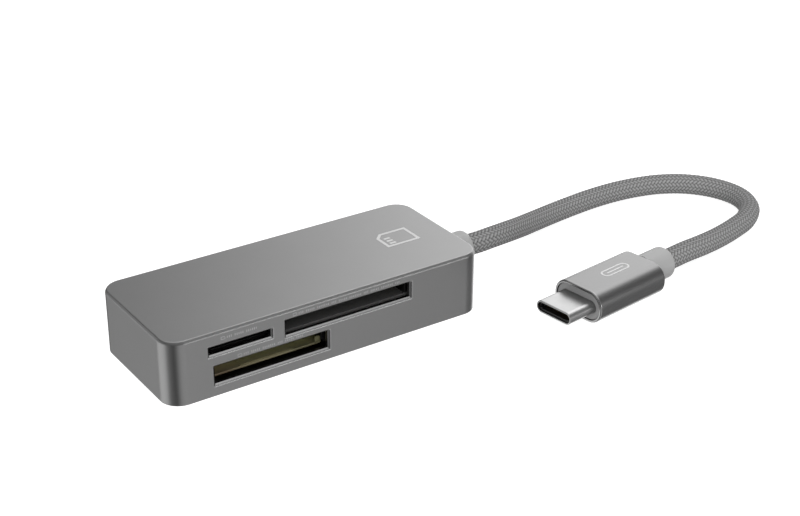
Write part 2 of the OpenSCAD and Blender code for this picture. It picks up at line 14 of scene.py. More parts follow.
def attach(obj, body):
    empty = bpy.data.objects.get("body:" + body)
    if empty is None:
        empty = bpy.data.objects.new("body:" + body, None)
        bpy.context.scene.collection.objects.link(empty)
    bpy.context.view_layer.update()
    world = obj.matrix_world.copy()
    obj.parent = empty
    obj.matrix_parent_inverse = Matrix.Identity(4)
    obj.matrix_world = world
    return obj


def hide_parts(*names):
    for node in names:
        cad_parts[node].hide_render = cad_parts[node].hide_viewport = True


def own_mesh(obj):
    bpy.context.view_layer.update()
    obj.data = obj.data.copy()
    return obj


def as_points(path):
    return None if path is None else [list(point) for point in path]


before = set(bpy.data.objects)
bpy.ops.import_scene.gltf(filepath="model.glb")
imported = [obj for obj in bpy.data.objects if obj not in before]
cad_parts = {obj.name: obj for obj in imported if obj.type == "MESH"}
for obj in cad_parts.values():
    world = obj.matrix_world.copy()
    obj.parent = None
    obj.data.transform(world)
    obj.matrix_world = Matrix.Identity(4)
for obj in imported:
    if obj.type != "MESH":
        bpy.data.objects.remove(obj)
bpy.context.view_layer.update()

MM = 0.001

# Camera: its place, the way it looks, and its lens, solved from the case's straight edges
CAMERA_PLACE = (-123.93, -214.26, 138.06)
CAMERA_TURN = -34.32
CAMERA_TILT = 26.71
CAMERA_ROLL = 0.40
CAMERA_LENS = 71.31
SENSOR_WIDTH = 36.0

# Case, as in part.scad
BODY_LEN, BODY_DEP, BODY_HIGH = 62.8, 25.8, 11.9
CORNER_R = 3.6
WALL = 1.0
CEILING_Z = 10.8
FRONT_Y = -BODY_DEP / 2
BOARD_TOP = 6.75
SCREW_X, SCREW_Y = 28.0, 9.5
BOSS_R, SCREW_BORE_R, SCREW_BORE_TOP = 2.6, 0.82, 9.6
LEAD_Z = 6.0
GROMMET_HOLE_R = 2.95

# Edges of the visual case: the bevel round its top, how far in, how far down, and how much of that
# eases each of its two edges, and the small round at its foot
TOP_BEVEL_IN, TOP_BEVEL_DOWN, TOP_BEVEL_EASE = 0.3, 0.5, 0.14
LOW_EDGE_R = 0.12

# Chamfer round each slot: its size, how far its outer and inner edges are eased, and its corners
SLOT_CHAMFER = 0.4
CHAMFER_NEAR, CHAMFER_FAR = 0.05, 0.08
SLOT_CORNER_R, CORNER_GROWTH = 0.07, 0.2

# Slots: name, centre along X, lower edge, width, height
SLOTS = (
    ("micro", -17.95, 7.8, 11.5, 1.3),
    ("full", 3.25, 7.1, 25.0, 2.75),
    ("stick", -12.0, 2.2, 21.7, 3.2),
)

# Marks over the slots: name, left end, right end, height of the middle
SLOT_MARKS = (
    ("micro", -21.6, -14.9, 10.45),
    ("full", -8.0, 13.6, 10.75),
    ("stick", -18.65, -6.2, 6.3),
)
MARK_THICK = 0.012
SLOT_CARD_W, SLOT_CARD_H, SLOT_CARD_NOTCH, SLOT_CARD_LINE = 0.8, 0.56, 0.18, 0.1
TICK_STEP, TICK_W, TICK_TALL, TICK_SHORT = 0.36, 0.16, 0.42, 0.34

# Mark on the case's top: its middle, the card's size, and the line it is drawn with
TOP_MARK_X, TOP_MARK_Y = 21.6, 0.16
TOP_CARD_W, TOP_CARD_H, TOP_CARD_NOTCH, TOP_CARD_LINE = 5.4, 7.0, 1.4, 0.55

# Mark on the plug: its middle along the plug, its size, and the line it is drawn with
PLUG_MARK_X, PLUG_MARK_W, PLUG_MARK_H, PLUG_MARK_LINE = 9.9, 6.8, 2.2, 0.35

# Stick slot's tray
TRAY_LEFT, TRAY_RIGHT, TRAY_FRONT, TRAY_BACK = -23.3, -0.95, -10.6, 9.2
TRAY_LOW, TRAY_TOP, TRAY_CORNER_R = 2.2, 2.65, 0.7
TRAY_WINDOWS = (-17.0, -7.2)
TRAY_WINDOW_Y, TRAY_WINDOW_W, TRAY_WINDOW_D, TRAY_WINDOW_R = -0.4, 3, 7, 0.3

# Eject spring: its axis along Y, its two ends, its radius, its wire's radius and its turns
SPRING_X, SPRING_Z = -11.95, 8.4
SPRING_FRONT, SPRING_BACK = -0.18, 4.78
SPRING_R, SPRING_WIRE_R, SPRING_TURNS = 0.36, 0.06, 9

# Lead
LEAD_D = 4.1
LEAD_R = LEAD_D / 2
LEAD_LENGTH = 116.3
BORE_R = 2.06
SLEEVE_R = 3.1
SLEEVE_EDGE_R = 0.9
GROMMET_LEN, GROMMET_NECK_R = 6.0, 2.9
FLANGE_T, FLANGE_R = 1.2, 3.7

# Plug: where the lead meets its collar, the way it points, and its sizes
PLUG_END = (68.2, -21.4, 3.1)
PLUG_TURN = 7.9
PLUG_LEN = 24.2
SHEATH_LEN, SHEATH_W, SHEATH_H, SHEATH_R = 17.8, 11.2, 6.2, 2.9
SHEATH_WALL, SHEATH_EDGE_R, SHEATH_LIP_R, SHEATH_BACK = 0.5, 0.3, 0.08, 1.2
SHEATH_HOLE_R = 2.6
COLLAR_NECK_R = 2.55
MOUTH_LEN, MOUTH_W, MOUTH_H, MOUTH_WALL = 6.4, 8.25, 2.4, 0.3
MOUTH_BACK = 5.0
MOUTH_EDGE_R, MOUTH_LIP_R = 0.16, 0.1
INSERT_X, INSERT_T = 0.2, 2.4
INSERT_EDGE_R, INSERT_HOLE_EDGE_R, INSERT_GAP = 0.12, 0.08, 0.02
SEAT_GAP = 0.1

# The route of the lead's free stretch, the same points as in part.scad, in metres
LEAD_ROUTE = [Vector(p) * MM for p in (
    (37.4, 0, 6), (40.4, 0, 6), (43.4, 0.4, 5.9), (48.8, 2, 5.1), (54, 4.3, 3.9),
    (59.2, 6.5, 2.9), (64.8, 8.2, 2.3), (70.6, 9.2, 2.1), (76.4, 9.7, 2.1), (82.2, 9.7, 2.1),
    (88, 9, 2.1), (93.5, 7.4, 2.1), (98.4, 4.3, 2.1), (101.8, -0.4, 2.1), (102.9, -6, 2.1),
    (100.9, -11.3, 2.1), (96.4, -14.9, 2.1), (91, -16.9, 2.2), (85.3, -18.5, 2.4),
    (79.7, -19.8, 2.8), (74.2, -20.6, 3.1), (71.2, -21, 3.1), (68.2, -21.4, 3.1),
)]

# Braid: strands each way round the lead, the length of one crossing, and the mesh drawn over it
STRANDS = 16
CROSSING = 0.9
STRAND_RISE = 0.085
STRAND_CROWN = 0.1
FACETS_PER_STRAND = 6
FACETS_PER_CROSSING = 6

# Samples between two points of the route, and how many rings of the braid go to one point of its path
ROUTE_SAMPLES = 60
PATH_STEP = 8

# Surroundings, in metres and watts
FLOOR_R, FLOOR_GLOW = 3.0, 0.88
FLOOR_GAP = 0.00003
OVERHEAD_PLACE, OVERHEAD_SIZE, OVERHEAD_POWER = (0.02, 0.0, 0.8), 0.9, 2.6
BACKDROP = 1.0

# Soft panels that metals see round the object. Each has an azimuth, a half width and a soft edge,
# a lowest and a highest elevation and a soft edge, all in degrees, and then its strength.
# The one with a strength below zero is a black card.
PANELS = (
    (29, 28.7, 23, -6, 62, 14, 2.12),
    (42, 25, 16, -75, -4, 10, 1.9),
    (153, 31.2, 20, -65, 5, 14, 1.27),
    (228, 10, 14, -80, 8, 14, -0.24),
    (277, 31, 26, -80, 4, 14, 0.7),
    (322, 25, 20, -75, 18, 14, 0.12),
    (300, 12, 8, 0, 12, 5, 4.5),
    (300, 14, 8, 20, 37, 8, 0.34),
    (0, 181, 1, 47, 100, 16, 1.1),
)
FILL = 0.3

# The same for what falls on matt surfaces: one wide soft light from the camera's side
SOFT_PANELS = (
    (240, 70, 70, -35, 80, 50, 1.15),
)
SOFT_FILL = 0.2


# ---- Shapes ----

CORNER_STEPS = 14


def add_piece(name, points, faces):
    """A mesh object from points in millimetres, with its faces turned outwards."""
    mesh = bpy.data.meshes.new(name)
    mesh.from_pydata([Vector(p) * MM for p in points], [], faces)
    shape = bmesh.new()
    shape.from_mesh(mesh)
    bmesh.ops.recalc_face_normals(shape, faces=shape.faces)
    shape.to_mesh(mesh)
    shape.free()
    piece = bpy.data.objects.new(name, mesh)
    bpy.context.scene.collection.objects.link(piece)
    return piece


def loft(name, loops, ring=False):
    """A skin over loops that have equal numbers of points. A ring joins its last loop to its first."""
    count = len(loops[0])
    rows = len(loops) if ring else len(loops) - 1
    faces = []
    for i in range(rows):
        j = (i + 1) % len(loops)
        for k in range(count):
            m = (k + 1) % count
            faces.append((i * count + k, i * count + m, j * count + m, j * count + k))
    if not ring:
        faces.append(tuple(range(count)))
        faces.append(tuple(range((len(loops) - 1) * count, len(loops) * count)))
    return add_piece(name, [p for loop in loops for p in loop], faces)


def round_rect(width, height, radius, steps=CORNER_STEPS):
    """Points round a rectangle with round corners."""
    points = []
    for quarter, (su, sv) in enumerate(((1, 1), (-1, 1), (-1, -1), (1, -1))):
        cu, cv = su * (width / 2 - radius), sv * (height / 2 - radius)
        for i in range(steps + 1):
            a = (quarter + i / steps) * math.pi / 2
            points.append((cu + radius * math.cos(a), cv + radius * math.sin(a)))
    return points


def inset_rect(width, height, radius, inset):
    """The same outline, moved inwards."""
    return round_rect(width - 2 * inset, height - 2 * inset, max(radius - inset, 0.01))


def round_hole(radius):
    """A circle with as many points as round_rect, so that the two can be skinned together."""
    count = 4 * (CORNER_STEPS + 1)
    return [(radius * math.cos(a), radius * math.sin(a))
            for a in ((k + 0.5) * 2 * math.pi / count for k in range(count))]


def quarter_round(radius, steps=6):
    """(inset, depth) pairs down a rounded edge, from the end face to the side."""
    return [(radius * (1 - math.sin(a)), radius * (1 - math.cos(a)))
            for a in (i * math.pi / 2 / steps for i in range(steps + 1))]


def eased(before, corner, after, steps=4):
    """Points round a profile's corner, rounded off from the point before it to the one after."""
    points = []
    for i in range(steps + 1):
        t = i / steps
        points.append(tuple((1 - t) ** 2 * a + 2 * t * (1 - t) * b + t ** 2 * c
                            for a, b, c in zip(before, corner, after)))
    return points


def upright(outline, z, x=0.0, y=0.0):
    return [(x + u, y + v, z) for u, v in outline]


def facing(outline, y, x, z):
    return [(x + u, y, z + v) for u, v in outline]


def rod(name, radius, z0, z1, x=0.0, y=0.0):
    outline = round_hole(radius)
    return loft(name, [upright(outline, z0, x, y), upright(outline, z1, x, y)])


def turned(name, profile, place, steps=96):
    """A closed (x, radius) profile turned about the X axis, then placed."""
    loops = []
    for k in range(steps):
        a = k * 2 * math.pi / steps
        loops.append([place(x, r * math.cos(a), r * math.sin(a)) for x, r in profile])
    return loft(name, loops, ring=True)


def carve(piece, cutters, operation="DIFFERENCE"):
    """Cuts the cutters out of the piece, or joins them to it, and deletes them."""
    for cutter in cutters:
        step = piece.modifiers.new("carve", "BOOLEAN")
        step.object, step.operation, step.solver = cutter, operation, "EXACT"
    bpy.context.view_layer.update()
    carved = bpy.data.meshes.new_from_object(
        piece.evaluated_get(bpy.context.evaluated_depsgraph_get()))
    piece.modifiers.clear()
    piece.data = carved
    for cutter in cutters:
        bpy.data.objects.remove(cutter)


def smooth(piece, angle=32.0):
    """Shades curves smooth and keeps flats flat. Edges sharper than the angle, in degrees, stay sharp."""
    mesh = piece.data
    mesh.polygons.foreach_set("use_smooth", [True] * len(mesh.polygons))
    mesh.set_sharp_from_angle(angle=math.radians(angle))
    even = piece.modifiers.new("even_normals", "WEIGHTED_NORMAL")
    even.keep_sharp, even.weight = True, 100
    return piece


def fit(piece, body, slot, material, *nodes):
    """Gives a new piece its material and its body, and hides the CAD nodes it stands for. The slot is not
    used.
    """
    piece.data.materials.clear()
    piece.data.materials.append(material)
    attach(piece, body)
    if nodes:
        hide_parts(*nodes)
    return piece


def at_plug(x, y, z):
    """The CAD's place of a point of the plug's frame: its front face is x = 0, and the lead is at +x."""
    a = math.radians(PLUG_TURN)
    along = x - PLUG_LEN
    return (PLUG_END[0] + along * math.cos(a) - y * math.sin(a),
            PLUG_END[1] + along * math.sin(a) + y * math.cos(a),
            PLUG_END[2] + z)


def across_plug(outline, x):
    return [at_plug(x, u, v) for u, v in outline]


# ---- Materials ----

class Surface:
    """A material's node tree, with short calls for what the finishes below need."""

    def __init__(self, name, colour, roughness, metallic=0.0):
        self.material = bpy.data.materials.new(name)
        self.material.use_nodes = True
        self.nodes = self.material.node_tree.nodes
        self.links = self.material.node_tree.links
        self.shader = self.nodes["Principled BSDF"]
        self.shader.inputs["Base Color"].default_value = (*colour, 1)
        self.shader.inputs["Roughness"].default_value = roughness
        self.shader.inputs["Metallic"].default_value = metallic
        self.place = self.node("ShaderNodeTexCoord").outputs["Object"]
        self.colour = colour

    def node(self, kind, **settings):
        made = self.nodes.new(kind)
        for key, value in settings.items():
            setattr(made, key, value)
        return made

    def feed(self, socket, value):
        if isinstance(value, bpy.types.NodeSocket):
            self.links.new(value, socket)
        else:
            socket.default_value = value

    def math(self, operation, a, b=0.0, c=0.0):
        made = self.node("ShaderNodeMath", operation=operation)
        for socket, value in zip(made.inputs, (a, b, c)):
            self.feed(socket, value)
        return made.outputs[0]

    def stretched(self, scale):
        """Object coordinates in millimetres, times a scale for each axis."""
        made = self.node("ShaderNodeVectorMath", operation="MULTIPLY")
        self.feed(made.inputs[0], self.place)
        made.inputs[1].default_value = [1000 * s for s in scale]
        return made.outputs[0]

    def turned_along_plug(self, scale):
        """Coordinates that follow the plug's own axis, in millimetres, times a scale."""
        made = self.node("ShaderNodeMapping", vector_type="TEXTURE")
        self.feed(made.inputs["Vector"], self.place)
        made.inputs["Rotation"].default_value[2] = math.radians(PLUG_TURN)
        made.inputs["Scale"].default_value = [0.001 / s for s in scale]
        return made.outputs[0]

    def noise(self, vector, detail):
        made = self.node("ShaderNodeTexNoise")
        self.feed(made.inputs["Vector"], vector)
        made.inputs["Scale"].default_value = 1.0
        made.inputs["Detail"].default_value = detail
        return made.outputs["Fac"]

    def span(self, value, low, high, start=0.0, end=1.0):
        """The value from start to end, brought to low to high."""
        made = self.node("ShaderNodeMapRange")
        for socket, number in zip(made.inputs, (value, start, end, low, high)):
            self.feed(socket, number)
        return made.outputs["Result"]

    def blend(self, share, a, b):
        """Colour a where the share is 0, and b where it is 1."""
        made = self.node("ShaderNodeMix", data_type="RGBA")
        self.feed(made.inputs["Factor"], share)
        for key, colour in ((6, a), (7, b)):
            value = colour if isinstance(colour, bpy.types.NodeSocket) else (*colour, 1)
            self.feed(made.inputs[key], value)
        return made.outputs[2]

    def shade(self, share, dark, light):
        """Base colour between dark and light times the surface's own colour."""
        low = [c * dark for c in self.colour]
        high = [c * light for c in self.colour]
        self.feed(self.shader.inputs["Base Color"], self.blend(share, low, high))

    def rough(self, share, low, high):
        self.feed(self.shader.inputs["Roughness"], self.span(share, low, high))

    def bump(self, height, depth):
        """Relief of a depth in millimetres."""
        made = self.node("ShaderNodeBump")
        made.inputs["Distance"].default_value = depth * MM
        self.feed(made.inputs["Height"], height)
        self.feed(self.shader.inputs["Normal"], made.outputs["Normal"])


def blasted_metal(name, tone, roughness, grain=7.0, depth=0.004):
    """Anodised aluminium with a fine blasted grain and faint cloudy variation."""
    s = Surface(name, (tone, tone, tone), roughness, 1.0)
    fine = s.noise(s.stretched((grain, grain, grain)), detail=3)
    cloud = s.noise(s.stretched((0.12, 0.12, 0.12)), detail=2)
    s.shade(s.math("ADD", s.math("MULTIPLY", fine, 0.6), s.math("MULTIPLY", cloud, 0.4)), 0.93, 1.07)
    s.rough(fine, roughness - 0.04, roughness + 0.04)
    s.bump(fine, depth)
    return s.material


def drawn_metal(name, tone, roughness):
    """The plug's sleeve: satin aluminium with fine streaks along the plug."""
    s = Surface(name, (tone, tone, tone), roughness, 1.0)
    streak = s.noise(s.turned_along_plug((0.9, 9.0, 9.0)), detail=3)
    grain = s.noise(s.stretched((8.0, 8.0, 8.0)), detail=2)
    mixed = s.math("ADD", s.math("MULTIPLY", streak, 0.65), s.math("MULTIPLY", grain, 0.35))
    s.shade(mixed, 0.9, 1.1)
    s.rough(mixed, roughness - 0.05, roughness + 0.05)
    s.bump(mixed, 0.004)
    return s.material


def plated_metal(name, colour, roughness, streaks=(6.0, 1.0, 6.0), depth=0.002):
    """Rolled and plated sheet metal: faint rolling streaks and a soft sheen."""
    s = Surface(name, colour, roughness, 1.0)
    streak = s.noise(s.stretched(streaks), detail=3)
    cloud = s.noise(s.stretched((0.5, 0.5, 0.5)), detail=2)
    s.shade(cloud, 0.9, 1.08)
    s.rough(streak, roughness * 0.75, roughness * 1.25)
    s.bump(streak, depth)
    return s.material


def moulded_plastic(name, colour, roughness, grain=6.0):
    """Moulded plastic or soft rubber with a fine spark texture."""
    s = Surface(name, colour, roughness)
    fine = s.noise(s.stretched((grain, grain, grain)), detail=3)
    cloud = s.noise(s.stretched((0.3, 0.3, 0.3)), detail=1)
    s.shade(cloud, 0.95, 1.05)
    s.rough(fine, roughness - 0.06, roughness + 0.06)
    s.bump(fine, 0.006)
    return s.material


def dull_brass(name):
    """Lacquered brass for the tray: browner at the left, finely streaked, darker at the front and lighter
    further in, where the lighter tone is painted light inside the slot.
    """
    s = Surface(name, (0.5, 0.47, 0.25), 0.45, 0.1)
    streak = s.noise(s.stretched((1.0, 7.0, 7.0)), detail=3)
    spot = s.node("ShaderNodeSeparateXYZ")
    s.feed(spot.inputs[0], s.stretched((1.0, 1.0, 1.0)))
    wavy = s.math("ADD", spot.outputs["X"], s.math("MULTIPLY", streak, 2.0))
    right = s.span(wavy, 0.0, 1.0, -19.0, -14.0)
    far = s.span(spot.outputs["X"], 0.0, 1.0, -8.0, -6.0)
    # Painted light: over the first 2 mm from the front, the tray turns to a lighter colour that stands in
    # for light inside the slot.
    deep = s.span(spot.outputs["Y"], 0.0, 1.0, TRAY_FRONT, TRAY_FRONT + 2.0)
    front_tone = s.blend(far, s.blend(right, (0.13, 0.1, 0.06), (0.2, 0.18, 0.1)), (0.11, 0.105, 0.055))
    painted_light_inside = s.blend(right, (0.5, 0.43, 0.22), (0.4, 0.385, 0.18))
    s.feed(s.shader.inputs["Base Color"], s.blend(deep, front_tone, painted_light_inside))
    s.rough(streak, 0.35, 0.55)
    s.bump(streak, 0.004)
    return s.material


def soft_collar(name):
    """Light grey soft plastic that lets a little light in."""
    s = Surface(name, (0.37, 0.37, 0.37), 0.5)
    fine = s.noise(s.stretched((5.0, 5.0, 5.0)), detail=3)
    s.shade(fine, 0.97, 1.03)
    s.rough(fine, 0.45, 0.58)
    s.bump(fine, 0.004)
    s.shader.inputs["Subsurface Weight"].default_value = 0.15
    s.shader.inputs["Subsurface Radius"].default_value = (0.001, 0.001, 0.001)
    s.shader.inputs["Subsurface Scale"].default_value = 0.6
    return s.material


def laminate(name):
    """Circuit board: a dark coated face with faint raised lines."""
    s = Surface(name, (0.008, 0.011, 0.009), 0.35)
    bricks = s.node("ShaderNodeTexBrick", offset=0.5)
    s.feed(bricks.inputs["Vector"], s.stretched((1.0, 1.0, 1.0)))
    for key, value in (("Scale", 0.45), ("Mortar Size", 0.06), ("Mortar Smooth", 0.2),
                       ("Brick Width", 0.9), ("Row Height", 0.35)):
        bricks.inputs[key].default_value = value
    traces = bricks.outputs["Fac"]
    s.feed(s.shader.inputs["Base Color"], s.blend(traces, s.colour, (0.02, 0.03, 0.022)))
    s.bump(traces, 0.02)
    s.shader.inputs["Coat Weight"].default_value = 0.4
    return s.material


def ceramic(name):
    """Small capacitors and resistors: speckled tan ceramic."""
    s = Surface(name, (0.32, 0.2, 0.1), 0.4)
    speck = s.noise(s.stretched((12.0, 12.0, 12.0)), detail=2)
    s.shade(speck, 0.8, 1.15)
    s.bump(speck, 0.006)
    return s.material


def insulation(name, colour):
    """Thin wire insulation, slightly waxy."""
    s = Surface(name, colour, 0.38)
    band = s.noise(s.stretched((1.5, 7.0, 7.0)), detail=2)
    s.shade(band, 0.88, 1.1)
    s.bump(band, 0.004)
    s.shader.inputs["Coat Weight"].default_value = 0.2
    return s.material


def strand_shares(s):
    """Where a point is across the strand on top, and along it, from the braid's own coordinates."""
    spot = s.node("ShaderNodeSeparateXYZ")
    s.feed(spot.inputs[0], s.node("ShaderNodeUVMap", uv_map="strands").outputs["UV"])
    a, b = spot.outputs["X"], spot.outputs["Y"]
    parity = s.math("FLOORED_MODULO", s.math("ADD", s.math("FLOOR", a), s.math("FLOOR", b)), 4.0)
    over = s.math("LESS_THAN", parity, 1.5)
    under = s.math("SUBTRACT", 1.0, over)
    across = s.math("ADD", s.math("MULTIPLY", a, over), s.math("MULTIPLY", b, under))
    along = s.math("ADD", s.math("MULTIPLY", b, over), s.math("MULTIPLY", a, under))
    return across, along


def braid(name):
    """Woven yarn: twisted filaments in each strand, with painted shade in the grooves between the strands
    and painted light on their crowns.
    """
    s = Surface(name, (0.132, 0.132, 0.132), 0.75)
    across, along = strand_shares(s)
    turn = s.math("MULTIPLY_ADD", along, 0.9, s.math("MULTIPLY", across, 6.0))
    filament = s.span(s.math("SINE", s.math("MULTIPLY", turn, 2 * math.pi)), 0.0, 1.0, -1.0, 1.0)
    relief = s.node("ShaderNodeAttribute", attribute_name="relief").outputs["Fac"]
    fuzz = s.noise(s.stretched((4.0, 4.0, 4.0)), detail=3)
    # Painted light and shade: the crowns of the strands are lighter and the grooves between them darker,
    # from the relief's height, with faint stripes along the filaments.
    crown = s.math("POWER", s.span(relief, 0.0, 1.0, 0.25, 0.95), 1.5)
    lit = s.math("ADD", s.math("MULTIPLY", crown, 0.72), s.math("MULTIPLY", filament, 0.06))
    s.shade(s.math("ADD", lit, s.math("MULTIPLY", fuzz, 0.32)), 0.0, 2.75)
    s.bump(s.math("ADD", filament, s.math("MULTIPLY", fuzz, 0.5)), 0.012)
    s.shader.inputs["Specular IOR Level"].default_value = 0.12
    return s.material


def print_ink(name, tone):
    """Pale laser marking on metal."""
    s = Surface(name, (tone, tone, tone), 0.5, 0.35)
    speck = s.noise(s.stretched((9.0, 9.0, 9.0)), detail=2)
    s.shade(speck, 0.94, 1.05)
    s.bump(speck, 0.003)
    return s.material


def socket_floor(name):
    """The full size socket: one plastic in two tones, lighter on its floor and front lip as painted light
    from the slot, and near black on the walls above as painted shade.
    """
    s = Surface(name, (0.085, 0.085, 0.084), 0.5)
    spot = s.node("ShaderNodeSeparateXYZ")
    s.feed(spot.inputs[0], s.stretched((1.0, 1.0, 1.0)))
    fine = s.noise(s.stretched((7.0, 7.0, 7.0)), detail=3)
    # Painted light and shade: full colour below 7.34 mm, on the floor and its front lip, and almost black
    # above it.
    low = s.span(spot.outputs["Z"], 1.0, 0.02, 7.34, 7.42)
    s.shade(s.math("MULTIPLY", low, s.span(fine, 0.85, 1.1)), 0.0, 1.0)
    s.bump(fine, 0.006)
    return s.material


def make_finishes():
    """One material for each material slot of the record."""
    return {
        "case_aluminium": blasted_metal("case_aluminium", 0.22, 0.36),
        "sleeve_aluminium": drawn_metal("sleeve_aluminium", 0.175, 0.32),
        "shell_nickel": plated_metal("shell_nickel", (0.34, 0.34, 0.34), 0.31, (1.0, 6.0, 6.0), 0.001),
        "screw_steel": plated_metal("screw_steel", (0.35, 0.35, 0.36), 0.35, (8.0, 8.0, 1.0)),
        "nickel_steel": plated_metal("nickel_steel", (0.5, 0.5, 0.48), 0.3),
        "spring_steel": plated_metal("spring_steel", (0.45, 0.45, 0.46), 0.28, (9.0, 9.0, 3.0)),
        "contact_gold": plated_metal("contact_gold", (0.75, 0.5, 0.16), 0.24),
        "tray_brass": dull_brass("tray_brass"),
        "laminate": laminate("laminate"),
        "chip_black": moulded_plastic("chip_black", (0.012, 0.012, 0.013), 0.55, 9.0),
        "socket_black": moulded_plastic("socket_black", (0.17, 0.17, 0.167), 0.5, 7.0),
        "deep_black": moulded_plastic("deep_black", (0.008, 0.008, 0.008), 0.5, 7.0),
        "insert_grey": moulded_plastic("insert_grey", (0.26, 0.26, 0.26), 0.5, 7.0),
        "slider_white": moulded_plastic("slider_white", (0.7, 0.69, 0.66), 0.4),
        "mould_white": moulded_plastic("mould_white", (0.68, 0.67, 0.63), 0.5),
        "part_ceramic": ceramic("part_ceramic"),
        "wire_red": insulation("wire_red", (0.45, 0.03, 0.025)),
        "soft_grey": soft_collar("soft_grey"),
        "braid": braid("braid"),
    }


# ---- Camera ----

def make_camera():
    turn, tilt, roll = (math.radians(a) for a in (CAMERA_TURN, CAMERA_TILT, CAMERA_ROLL))
    back = Vector((math.sin(turn) * math.cos(tilt), -math.cos(turn) * math.cos(tilt), math.sin(tilt)))
    level = Vector((math.cos(turn), math.sin(turn), 0))
    rise = back.cross(level)
    right = level * math.cos(roll) + rise * math.sin(roll)
    up = rise * math.cos(roll) - level * math.sin(roll)
    data = bpy.data.cameras.new("camera")
    data.lens, data.sensor_width = CAMERA_LENS, SENSOR_WIDTH
    data.clip_start, data.clip_end = 0.01, 20.0
    camera = bpy.data.objects.new("camera", data)
    bpy.context.scene.collection.objects.link(camera)
    camera.matrix_world = (Matrix.Translation(Vector(CAMERA_PLACE) * MM)
                           @ Matrix((right, up, back)).transposed().to_4x4())
    bpy.context.scene.camera = camera


# ---- Lead ----

def route_axis(i):
    """Route point i, carried on straight past both ends."""
    last = len(LEAD_ROUTE) - 1
    if i < 0:
        return 2 * LEAD_ROUTE[0] - LEAD_ROUTE[1]
    if i > last:
        return 2 * LEAD_ROUTE[last] - LEAD_ROUTE[last - 1]
    return LEAD_ROUTE[i]


def route_point(s):
    """A point on the smooth curve through the route, s counted in route points."""
    k = min(int(s), len(LEAD_ROUTE) - 2)
    t = s - k
    a, b, c, d = (route_axis(k + i) for i in (-1, 0, 1, 2))
    return 0.5 * (2 * b + (c - a) * t + (2 * a - 5 * b + 4 * c - d) * t ** 2
                  + (3 * b - a - 3 * c + d) * t ** 3)


def even_route(count):
    """count points at equal distances along the route, and the whole length."""
    spans = (len(LEAD_ROUTE) - 1) * ROUTE_SAMPLES
    fine = np.array([route_point(i / ROUTE_SAMPLES) for i in range(spans + 1)])
    run = np.concatenate(([0], np.cumsum(np.linalg.norm(np.diff(fine, axis=0), axis=1))))
    marks = np.linspace(0, run[-1], count)
    return np.stack([np.interp(marks, run, fine[:, k]) for k in range(3)], 1), run[-1]


def strand_height(a, b):
    """Height of a two-over-two braid in millimetres, and from 0 to 1. a and b count strands each way."""
    def yarn(own, other, phase):
        wave = np.sin(np.pi / 2 * (np.floor(own) + other - phase))
        crown = 2 * (own - np.floor(own)) - 1
        return STRAND_RISE * np.clip(1.5 * wave, -1, 1) - STRAND_CROWN * crown ** 2
    top = np.maximum(yarn(a, b, 0.0), yarn(b, a, 2.0))
    low, high = -STRAND_RISE - STRAND_CROWN / 2, STRAND_RISE
    return top, np.clip((top - low) / (high - low), 0, 1)


def outward(centre, turn):
    """For each point of the centre line, the directions out of it at each turn round it."""
    way = np.gradient(centre, axis=0)
    way /= np.linalg.norm(way, axis=1)[:, None]
    side = np.cross(way, [0, 0, 1])
    side /= np.linalg.norm(side, axis=1)[:, None]
    rise = np.cross(side, way)
    angle = 2 * math.pi * turn
    return (side[:, None, :] * np.cos(angle)[None, :, None]
            + rise[:, None, :] * np.sin(angle)[None, :, None])


def make_lead(material):
    """The braided lead: a tube whose skin is the braid's own relief."""
    around = STRANDS * FACETS_PER_STRAND
    rings = round(LEAD_LENGTH / CROSSING * FACETS_PER_CROSSING)
    centre, length = even_route(rings + 1)
    turn = np.arange(around) / around
    run = np.linspace(0, length / MM / CROSSING, rings + 1)
    a = STRANDS * turn[None, :] + run[:, None]
    b = STRANDS * turn[None, :] - run[:, None]
    height, share = strand_height(a, b)
    radius = (LEAD_R + height - STRAND_RISE / 2) * MM
    points = (centre[:, None, :] + outward(centre, turn) * radius[:, :, None]).reshape(-1, 3)
    i, k = np.meshgrid(np.arange(rings), np.arange(around), indexing="ij")
    m = (k + 1) % around
    quads = np.stack([i * around + k, (i + 1) * around + k, (i + 1) * around + m, i * around + m], 2)
    faces = quads.reshape(-1, 4).tolist()
    faces.append(list(range(around)))
    faces.append(list(range((rings + 1) * around - 1, rings * around - 1, -1)))
    mesh = bpy.data.meshes.new("lead_braid")
    mesh.from_pydata(points.tolist(), [], faces)
    # The relief's height, 0 in the grooves and 1 on the crowns, from which the braid's material paints
    # shade and light.
    relief = mesh.attributes.new("relief", "FLOAT", "POINT")
    relief.data.foreach_set("value", share.reshape(-1).astype(np.float32))
    lay_strand_map(mesh, i, k, run)
    mesh.polygons.foreach_set("use_smooth", [True] * (len(faces) - 2) + [False] * 2)
    lead = bpy.data.objects.new("lead_braid", mesh)
    bpy.context.scene.collection.objects.link(lead)
    fit(lead, "reader", "braid", material, "lead")
    return lead, centre[::PATH_STEP].tolist() + [centre[-1].tolist()], length


def lay_strand_map(mesh, i, k, run):
    """Writes where each corner of each quad is on the braid, as strand counts both ways."""
    around = STRANDS * FACETS_PER_STRAND
    turn = np.stack([k, k, k + 1, k + 1], 2) / around * STRANDS
    along = np.stack([run[i], run[i + 1], run[i + 1], run[i]], 2)
    corners = np.stack([turn + along, turn - along], 3).reshape(-1, 2)
    spare = np.zeros((2 * around, 2))
    flat = np.concatenate([corners, spare]).astype(np.float32).reshape(-1)
    mesh.uv_layers.new(name="strands").data.foreach_set("uv", flat)


# ---- Case ----

def slab(name, length, depth, radius, profile):
    """An upright slab with round corners, over (inset, z) pairs from its foot to its top."""
    return loft(name, [upright(inset_rect(length, depth, radius, inset), z) for inset, z in profile])


